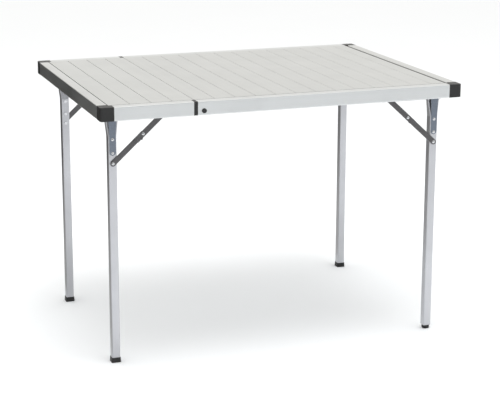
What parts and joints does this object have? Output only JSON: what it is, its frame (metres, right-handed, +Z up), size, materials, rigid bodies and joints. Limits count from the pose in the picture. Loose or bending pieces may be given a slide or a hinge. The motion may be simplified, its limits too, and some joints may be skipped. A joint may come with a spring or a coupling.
{
  "type": "extending picnic table",
  "caption": "Slatted aluminium picnic table whose left module slides out over a hidden leaf, with legs that fold flat under the top on linked braces.",
  "frame": {"origin": "on the floor, under the middle of the closed table's top", "axes": "X along the table, the sliding module at -X; Y across it, front at -Y; Z up"},
  "size_m": [0.99, 0.7284, 0.7],
  "materials": {
    "slat_aluminium": "brushed and anodised",
    "rail_aluminium": "anodised",
    "leg_aluminium": "anodised",
    "plain_aluminium": "mill",
    "channel_steel": "zinc plated",
    "link_steel": "zinc plated",
    "rivet_steel": "polished",
    "black_plastic": "moulded",
    "foot_plastic": "moulded"
  },
  "bodies": {
    "main_frame": {"main_rail_front": "rail_aluminium", "main_rail_back": "rail_aluminium", "main_collar_front": "black_plastic", "main_collar_back": "black_plastic", "end_rail_right": "rail_aluminium", "corner_cap_front_right": "black_plastic", "corner_cap_back_right": "black_plastic", "slats_main_left": "slat_aluminium", "slats_main_right": "slat_aluminium", "slat_main_end": "slat_aluminium", "leg_channel_front_right": "channel_steel", "leg_channel_back_right": "channel_steel", "hinge_pins_right": "rivet_steel"},
    "extension": {"left_rail_front": "rail_aluminium", "left_rail_back": "rail_aluminium", "left_collar_front": "black_plastic", "left_collar_back": "black_plastic", "end_rail_left": "rail_aluminium", "corner_cap_front_left": "black_plastic", "corner_cap_back_left": "black_plastic", "slats_extension": "slat_aluminium", "slide_tube_front": "plain_aluminium", "slide_tube_back": "plain_aluminium", "leg_channel_front_left": "channel_steel", "leg_channel_back_left": "channel_steel", "hinge_pins_left": "rivet_steel", "leaf_slats": "slat_aluminium", "leaf_runners": "plain_aluminium", "leaf_battens": "plain_aluminium"},
    "lock_button_front_body": {"lock_button_front": "black_plastic"},
    "lock_button_back_body": {"lock_button_back": "black_plastic"},
    "leg_front_left": {"leg_tube_front_left": "leg_aluminium", "leg_bracket_front_left": "link_steel", "leg_rivets_front_left": "rivet_steel", "foot_front_left": "foot_plastic"},
    "brace_lower_front_left": {"brace_lower_link_front_left": "link_steel"},
    "brace_upper_front_left": {"brace_upper_link_front_left": "link_steel", "brace_rivets_front_left": "rivet_steel"},
    "leg_back_left": {"leg_tube_back_left": "leg_aluminium", "leg_bracket_back_left": "link_steel", "leg_rivets_back_left": "rivet_steel", "foot_back_left": "foot_plastic"},
    "brace_lower_back_left": {"brace_lower_link_back_left": "link_steel"},
    "brace_upper_back_left": {"brace_upper_link_back_left": "link_steel", "brace_rivets_back_left": "rivet_steel"},
    "leg_front_right": {"leg_tube_front_right": "leg_aluminium", "leg_bracket_front_right": "link_steel", "leg_rivets_front_right": "rivet_steel", "leveller_insert_front_right": "foot_plastic"},
    "brace_lower_front_right": {"brace_lower_link_front_right": "link_steel"},
    "brace_upper_front_right": {"brace_upper_link_front_right": "link_steel", "brace_rivets_front_right": "rivet_steel"},
    "leg_back_right": {"leg_tube_back_right": "leg_aluminium", "leg_bracket_back_right": "link_steel", "leg_rivets_back_right": "rivet_steel", "foot_back_right": "foot_plastic"},
    "brace_lower_back_right": {"brace_lower_link_back_right": "link_steel"},
    "brace_upper_back_right": {"brace_upper_link_back_right": "link_steel", "brace_rivets_back_right": "rivet_steel"},
    "levelling_foot": {"levelling_foot_front_right": "foot_plastic"}
  },
  "joints": [
    {"name": "extension_slide", "type": "slide", "parent": "main_frame", "child": "extension", "axis": [-1, 0, 0], "range_m": [0, 0.222]},
    {"name": "lock_press_front", "type": "slide", "parent": "main_frame", "child": "lock_button_front_body", "axis": [0, 1, 0], "range_m": [0, 0.0035], "stiffness_N_per_m": 800},
    {"name": "lock_press_back", "type": "slide", "parent": "main_frame", "child": "lock_button_back_body", "axis": [0, -1, 0], "range_m": [0, 0.0035], "stiffness_N_per_m": 800},
    {"name": "leg_fold_front_left", "type": "hinge", "parent": "extension", "child": "leg_front_left", "pos_m": [-0.4415, -0.2593, 0.666], "axis": [0, -1, 0], "range_deg": [0, 90]},
    {"name": "brace_lower_turn_front_left", "type": "hinge", "parent": "leg_front_left", "child": "brace_lower_front_left", "pos_m": [-0.4415, -0.2593, 0.5355], "axis": [0, 1, 0], "range_deg": [0, 132.4]},
    {"name": "brace_upper_turn_front_left", "type": "hinge", "parent": "extension", "child": "brace_upper_front_left", "pos_m": [-0.29445, -0.2593, 0.66977], "axis": [0, -1, 0], "range_deg": [0, 135.23]},
    {"name": "leg_fold_back_left", "type": "hinge", "parent": "extension", "child": "leg_back_left", "pos_m": [-0.4415, 0.2593, 0.666], "axis": [0, -1, 0], "range_deg": [0, 90]},
    {"name": "brace_lower_turn_back_left", "type": "hinge", "parent": "leg_back_left", "child": "brace_lower_back_left", "pos_m": [-0.4415, 0.2593, 0.5355], "axis": [0, 1, 0], "range_deg": [0, 132.4]},
    {"name": "brace_upper_turn_back_left", "type": "hinge", "parent": "extension", "child": "brace_upper_back_left", "pos_m": [-0.29445, 0.2593, 0.66977], "axis": [0, -1, 0], "range_deg": [0, 135.23]},
    {"name": "leg_fold_front_right", "type": "hinge", "parent": "main_frame", "child": "leg_front_right", "pos_m": [0.4415, -0.3007, 0.666], "axis": [0, 1, 0], "range_deg": [0, 90]},
    {"name": "brace_lower_turn_front_right", "type": "hinge", "parent": "leg_front_right", "child": "brace_lower_front_right", "pos_m": [0.4415, -0.3007, 0.5355], "axis": [0, -1, 0], "range_deg": [0, 132.4]},
    {"name": "brace_upper_turn_front_right", "type": "hinge", "parent": "main_frame", "child": "brace_upper_front_right", "pos_m": [0.29445, -0.3007, 0.66977], "axis": [0, 1, 0], "range_deg": [0, 135.23]},
    {"name": "leg_fold_back_right", "type": "hinge", "parent": "main_frame", "child": "leg_back_right", "pos_m": [0.4415, 0.3007, 0.666], "axis": [0, 1, 0], "range_deg": [0, 90]},
    {"name": "brace_lower_turn_back_right", "type": "hinge", "parent": "leg_back_right", "child": "brace_lower_back_right", "pos_m": [0.4415, 0.3007, 0.5355], "axis": [0, -1, 0], "range_deg": [0, 132.4]},
    {"name": "brace_upper_turn_back_right", "type": "hinge", "parent": "main_frame", "child": "brace_upper_back_right", "pos_m": [0.29445, 0.3007, 0.66977], "axis": [0, 1, 0], "range_deg": [0, 135.23]},
    {"name": "leveller_screw", "type": "slide", "parent": "leg_front_right", "child": "levelling_foot", "axis": [0, 0, -1], "range_m": [0, 0.015]}
  ],
  "couplings": [
    {"joint": "brace_lower_turn_front_left", "follows": "leg_fold_front_left", "ratio": 1.4711},
    {"joint": "brace_upper_turn_front_left", "follows": "leg_fold_front_left", "ratio": 1.5026},
    {"joint": "brace_lower_turn_back_left", "follows": "leg_fold_back_left", "ratio": 1.4711},
    {"joint": "brace_upper_turn_back_left", "follows": "leg_fold_back_left", "ratio": 1.5026},
    {"joint": "brace_lower_turn_front_right", "follows": "leg_fold_front_right", "ratio": 1.4711},
    {"joint": "brace_upper_turn_front_right", "follows": "leg_fold_front_right", "ratio": 1.5026},
    {"joint": "brace_lower_turn_back_right", "follows": "leg_fold_back_right", "ratio": 1.4711},
    {"joint": "brace_upper_turn_back_right", "follows": "leg_fold_back_right", "ratio": 1.5026}
  ]
}
